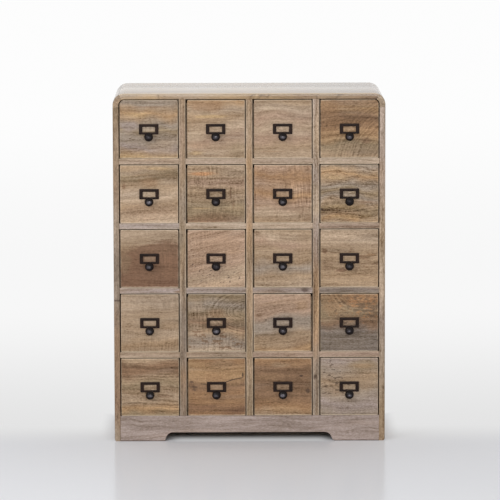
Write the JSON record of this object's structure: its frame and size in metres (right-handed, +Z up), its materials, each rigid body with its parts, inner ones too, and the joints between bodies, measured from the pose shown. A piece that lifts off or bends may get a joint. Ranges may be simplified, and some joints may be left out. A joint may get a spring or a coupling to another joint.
{
  "type": "drawer cabinet",
  "caption": "Floor-standing wooden chest with a grid of small sliding drawers, rounded top corners, an arched base and dark label-holder pulls with round knobs.",
  "frame": {"origin": "on the floor, under the middle of the closed chest with its pulls", "axes": "+Z up, drawers open towards -Y, +X to the right as seen from the front"},
  "size_m": [0.74, 0.3862, 0.955],
  "materials": {
    "case_wood": "oiled",
    "drawer_wood": "waxed",
    "back_wood": "raw",
    "pull_iron": "dark",
    "screw_steel": "zinc plated"
  },
  "bodies": {
    "case": {"top_panel": "case_wood", "left_corner_block": "case_wood", "right_corner_block": "case_wood", "left_side_panel": "case_wood", "right_side_panel": "case_wood", "divider_1": "case_wood", "divider_2": "case_wood", "divider_3": "case_wood", "shelf_row_1": "case_wood", "shelf_row_2": "case_wood", "shelf_row_3": "case_wood", "shelf_row_4": "case_wood", "bottom_board": "case_wood", "front_apron": "case_wood", "rear_rail": "case_wood", "base_glue_blocks": "case_wood", "back_panel": "back_wood", "back_panel_screws": "screw_steel"},
    "drawer_row_1_column_1": {"drawer_row_1_column_1": "drawer_wood", "pull_row_1_column_1": "pull_iron"},
    "drawer_row_1_column_2": {"drawer_row_1_column_2": "drawer_wood", "pull_row_1_column_2": "pull_iron"},
    "drawer_row_1_column_3": {"drawer_row_1_column_3": "drawer_wood", "pull_row_1_column_3": "pull_iron"},
    "drawer_row_1_column_4": {"drawer_row_1_column_4": "drawer_wood", "pull_row_1_column_4": "pull_iron"},
    "drawer_row_2_column_1": {"drawer_row_2_column_1": "drawer_wood", "pull_row_2_column_1": "pull_iron"},
    "drawer_row_2_column_2": {"drawer_row_2_column_2": "drawer_wood", "pull_row_2_column_2": "pull_iron"},
    "drawer_row_2_column_3": {"drawer_row_2_column_3": "drawer_wood", "pull_row_2_column_3": "pull_iron"},
    "drawer_row_2_column_4": {"drawer_row_2_column_4": "drawer_wood", "pull_row_2_column_4": "pull_iron"},
    "drawer_row_3_column_1": {"drawer_row_3_column_1": "drawer_wood", "pull_row_3_column_1": "pull_iron"},
    "drawer_row_3_column_2": {"drawer_row_3_column_2": "drawer_wood", "pull_row_3_column_2": "pull_iron"},
    "drawer_row_3_column_3": {"drawer_row_3_column_3": "drawer_wood", "pull_row_3_column_3": "pull_iron"},
    "drawer_row_3_column_4": {"drawer_row_3_column_4": "drawer_wood", "pull_row_3_column_4": "pull_iron"},
    "drawer_row_4_column_1": {"drawer_row_4_column_1": "drawer_wood", "pull_row_4_column_1": "pull_iron"},
    "drawer_row_4_column_2": {"drawer_row_4_column_2": "drawer_wood", "pull_row_4_column_2": "pull_iron"},
    "drawer_row_4_column_3": {"drawer_row_4_column_3": "drawer_wood", "pull_row_4_column_3": "pull_iron"},
    "drawer_row_4_column_4": {"drawer_row_4_column_4": "drawer_wood", "pull_row_4_column_4": "pull_iron"},
    "drawer_row_5_column_1": {"drawer_row_5_column_1": "drawer_wood", "pull_row_5_column_1": "pull_iron"},
    "drawer_row_5_column_2": {"drawer_row_5_column_2": "drawer_wood", "pull_row_5_column_2": "pull_iron"},
    "drawer_row_5_column_3": {"drawer_row_5_column_3": "drawer_wood", "pull_row_5_column_3": "pull_iron"},
    "drawer_row_5_column_4": {"drawer_row_5_column_4": "drawer_wood", "pull_row_5_column_4": "pull_iron"}
  },
  "joints": [
    {"name": "slide_row_1_column_1", "type": "slide", "parent": "case", "child": "drawer_row_1_column_1", "axis": [0, -1, 0], "range_m": [0, 0.27]},
    {"name": "slide_row_1_column_2", "type": "slide", "parent": "case", "child": "drawer_row_1_column_2", "axis": [0, -1, 0], "range_m": [0, 0.27]},
    {"name": "slide_row_1_column_3", "type": "slide", "parent": "case", "child": "drawer_row_1_column_3", "axis": [0, -1, 0], "range_m": [0, 0.27]},
    {"name": "slide_row_1_column_4", "type": "slide", "parent": "case", "child": "drawer_row_1_column_4", "axis": [0, -1, 0], "range_m": [0, 0.27]},
    {"name": "slide_row_2_column_1", "type": "slide", "parent": "case", "child": "drawer_row_2_column_1", "axis": [0, -1, 0], "range_m": [0, 0.27]},
    {"name": "slide_row_2_column_2", "type": "slide", "parent": "case", "child": "drawer_row_2_column_2", "axis": [0, -1, 0], "range_m": [0, 0.27]},
    {"name": "slide_row_2_column_3", "type": "slide", "parent": "case", "child": "drawer_row_2_column_3", "axis": [0, -1, 0], "range_m": [0, 0.27]},
    {"name": "slide_row_2_column_4", "type": "slide", "parent": "case", "child": "drawer_row_2_column_4", "axis": [0, -1, 0], "range_m": [0, 0.27]},
    {"name": "slide_row_3_column_1", "type": "slide", "parent": "case", "child": "drawer_row_3_column_1", "axis": [0, -1, 0], "range_m": [0, 0.27]},
    {"name": "slide_row_3_column_2", "type": "slide", "parent": "case", "child": "drawer_row_3_column_2", "axis": [0, -1, 0], "range_m": [0, 0.27]},
    {"name": "slide_row_3_column_3", "type": "slide", "parent": "case", "child": "drawer_row_3_column_3", "axis": [0, -1, 0], "range_m": [0, 0.27]},
    {"name": "slide_row_3_column_4", "type": "slide", "parent": "case", "child": "drawer_row_3_column_4", "axis": [0, -1, 0], "range_m": [0, 0.27]},
    {"name": "slide_row_4_column_1", "type": "slide", "parent": "case", "child": "drawer_row_4_column_1", "axis": [0, -1, 0], "range_m": [0, 0.27]},
    {"name": "slide_row_4_column_2", "type": "slide", "parent": "case", "child": "drawer_row_4_column_2", "axis": [0, -1, 0], "range_m": [0, 0.27]},
    {"name": "slide_row_4_column_3", "type": "slide", "parent": "case", "child": "drawer_row_4_column_3", "axis": [0, -1, 0], "range_m": [0, 0.27]},
    {"name": "slide_row_4_column_4", "type": "slide", "parent": "case", "child": "drawer_row_4_column_4", "axis": [0, -1, 0], "range_m": [0, 0.27]},
    {"name": "slide_row_5_column_1", "type": "slide", "parent": "case", "child": "drawer_row_5_column_1", "axis": [0, -1, 0], "range_m": [0, 0.27]},
    {"name": "slide_row_5_column_2", "type": "slide", "parent": "case", "child": "drawer_row_5_column_2", "axis": [0, -1, 0], "range_m": [0, 0.27]},
    {"name": "slide_row_5_column_3", "type": "slide", "parent": "case", "child": "drawer_row_5_column_3", "axis": [0, -1, 0], "range_m": [0, 0.27]},
    {"name": "slide_row_5_column_4", "type": "slide", "parent": "case", "child": "drawer_row_5_column_4", "axis": [0, -1, 0], "range_m": [0, 0.27]}
  ]
}
